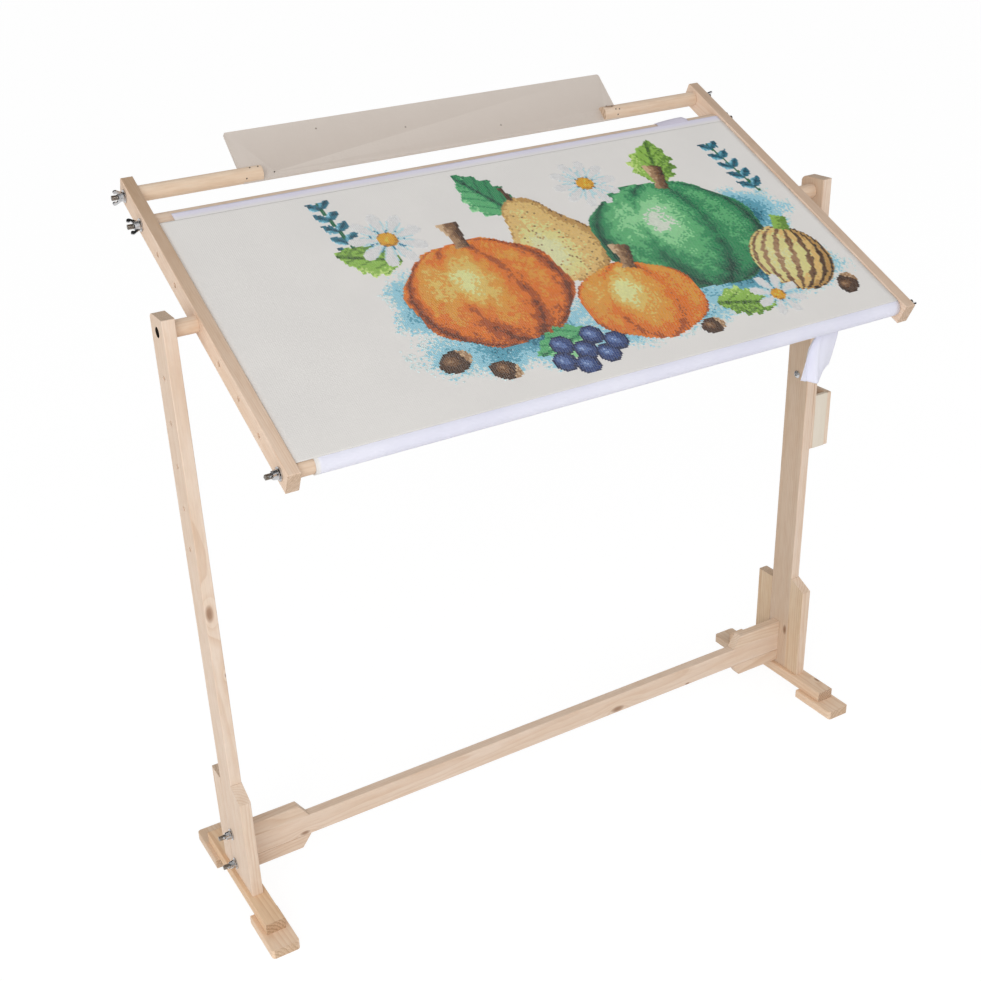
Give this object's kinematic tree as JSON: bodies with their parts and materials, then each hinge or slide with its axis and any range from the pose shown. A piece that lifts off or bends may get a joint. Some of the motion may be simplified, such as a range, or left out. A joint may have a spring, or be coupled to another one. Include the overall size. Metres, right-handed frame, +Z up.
{
  "type": "embroidery frame stand",
  "caption": "Floor stand of pine that holds a tilting scroll frame with stretched cross-stitch cloth, a swinging chart board and a small tool box",
  "frame": {"origin": "on the floor, under the middle of the whole model's box", "axes": "+X to the user's right along the rollers, +Y away from the user, +Z up"},
  "size_m": [0.985, 0.471, 0.9264],
  "materials": {
    "pine": "planed and sanded, unvarnished",
    "plywood": "sanded plywood, unvarnished",
    "aida": "even-weave cotton with a cross-stitch design",
    "white_cloth": "smooth plain-weave cotton",
    "zinc": "bright zinc plate"
  },
  "bodies": {
    "stand": {"left_upright": "pine", "right_upright": "pine", "left_back_wing": "pine", "right_back_wing": "pine", "left_front_wing": "pine", "right_front_wing": "pine", "left_foot_bar": "pine", "right_foot_bar": "pine", "left_front_pad": "pine", "right_front_pad": "pine", "left_back_pad": "pine", "right_back_pad": "pine", "stretcher_bar": "pine", "left_upper_block": "pine", "right_upper_block": "pine", "left_lower_block": "pine", "right_lower_block": "pine", "stretcher_studs": "zinc", "stretcher_washers": "zinc", "tool_box_back_plate": "pine", "tool_box_front": "plywood", "tool_box_side": "pine", "tool_box_rear": "plywood", "tool_box_floor": "plywood", "tool_box_bolt": "zinc", "tool_box_washer": "zinc", "pivot_bolts": "zinc", "pivot_washers": "zinc", "pivot_lock_nuts": "zinc"},
    "work_frame": {"left_arm": "pine", "right_arm": "pine", "left_pivot_spacer": "pine", "right_pivot_spacer": "pine", "arm_washers": "zinc", "embroidery_cloth": "aida", "cloth_tape": "white_cloth", "cloth_tail": "white_cloth"},
    "upper_roller": {"upper_roller": "pine", "upper_roller_studs": "zinc"},
    "lower_roller": {"lower_roller": "pine", "lower_roller_studs": "zinc", "lower_roller_cloth": "white_cloth"},
    "chart_board": {"left_board_dowel": "pine", "right_board_dowel": "pine", "board_dowel_studs": "zinc", "chart_board": "plywood", "board_brads": "zinc"},
    "left_board_nut": {"left_board_nut": "zinc"},
    "right_board_nut": {"right_board_nut": "zinc"},
    "left_upper_roller_nut": {"left_upper_roller_nut": "zinc"},
    "right_upper_roller_nut": {"right_upper_roller_nut": "zinc"},
    "left_lower_roller_nut": {"left_lower_roller_nut": "zinc"},
    "right_lower_roller_nut": {"right_lower_roller_nut": "zinc"},
    "left_upper_stretcher_nut": {"left_upper_stretcher_nut": "zinc"},
    "right_upper_stretcher_nut": {"right_upper_stretcher_nut": "zinc"},
    "left_lower_stretcher_nut": {"left_lower_stretcher_nut": "zinc"},
    "right_lower_stretcher_nut": {"right_lower_stretcher_nut": "zinc"},
    "tool_box_wing_nut": {"tool_box_wing_nut": "zinc"}
  },
  "joints": [
    {"name": "frame_tilt", "type": "hinge", "parent": "stand", "child": "work_frame", "pos_m": [-0.0075, -0.01397, 0.782], "axis": [1, 0, 0], "continuous": true},
    {"name": "lower_roller_turn", "type": "hinge", "parent": "work_frame", "child": "lower_roller", "pos_m": [-0.0075, -0.21499, 0.68204], "axis": [1, 0, 0], "continuous": true},
    {"name": "upper_roller_turn", "type": "hinge", "parent": "work_frame", "child": "upper_roller", "pos_m": [-0.0075, 0.13914, 0.85814], "axis": [1, 0, 0], "continuous": true},
    {"name": "chart_board_tilt", "type": "hinge", "parent": "work_frame", "child": "chart_board", "pos_m": [-0.0075, 0.18704, 0.88196], "axis": [1, 0, 0], "range_deg": [-175, 145]},
    {"name": "left_board_nut_turn", "type": "hinge", "parent": "chart_board", "child": "left_board_nut", "pos_m": [-0.4375, 0.18704, 0.88196], "axis": [-1, 0, 0], "continuous": true},
    {"name": "right_board_nut_turn", "type": "hinge", "parent": "chart_board", "child": "right_board_nut", "pos_m": [0.4225, 0.18704, 0.88196], "axis": [1, 0, 0], "continuous": true},
    {"name": "left_upper_roller_nut_turn", "type": "hinge", "parent": "upper_roller", "child": "left_upper_roller_nut", "pos_m": [-0.4375, 0.13914, 0.85814], "axis": [-1, 0, 0], "continuous": true},
    {"name": "right_upper_roller_nut_turn", "type": "hinge", "parent": "upper_roller", "child": "right_upper_roller_nut", "pos_m": [0.4225, 0.13914, 0.85814], "axis": [1, 0, 0], "continuous": true},
    {"name": "left_lower_roller_nut_turn", "type": "hinge", "parent": "lower_roller", "child": "left_lower_roller_nut", "pos_m": [-0.4375, -0.21499, 0.68204], "axis": [-1, 0, 0], "continuous": true},
    {"name": "right_lower_roller_nut_turn", "type": "hinge", "parent": "lower_roller", "child": "right_lower_roller_nut", "pos_m": [0.4225, -0.21499, 0.68204], "axis": [1, 0, 0], "continuous": true},
    {"name": "left_upper_stretcher_nut_turn", "type": "hinge", "parent": "stand", "child": "left_upper_stretcher_nut", "pos_m": [-0.4825, -0.00897, 0.095], "axis": [-1, 0, 0], "continuous": true},
    {"name": "right_upper_stretcher_nut_turn", "type": "hinge", "parent": "stand", "child": "right_upper_stretcher_nut", "pos_m": [0.4675, -0.00897, 0.095], "axis": [1, 0, 0], "continuous": true},
    {"name": "left_lower_stretcher_nut_turn", "type": "hinge", "parent": "stand", "child": "left_lower_stretcher_nut", "pos_m": [-0.4825, -0.00897, 0.0465], "axis": [-1, 0, 0], "continuous": true},
    {"name": "right_lower_stretcher_nut_turn", "type": "hinge", "parent": "stand", "child": "right_lower_stretcher_nut", "pos_m": [0.4675, -0.00897, 0.0465], "axis": [1, 0, 0], "continuous": true},
    {"name": "tool_box_wing_nut_turn", "type": "hinge", "parent": "stand", "child": "tool_box_wing_nut", "pos_m": [0.4725, -0.01397, 0.5185], "axis": [1, 0, 0], "continuous": true}
  ],
  "couplings": [
    {"joint": "upper_roller_turn", "follows": "lower_roller_turn", "ratio": 1}
  ]
}
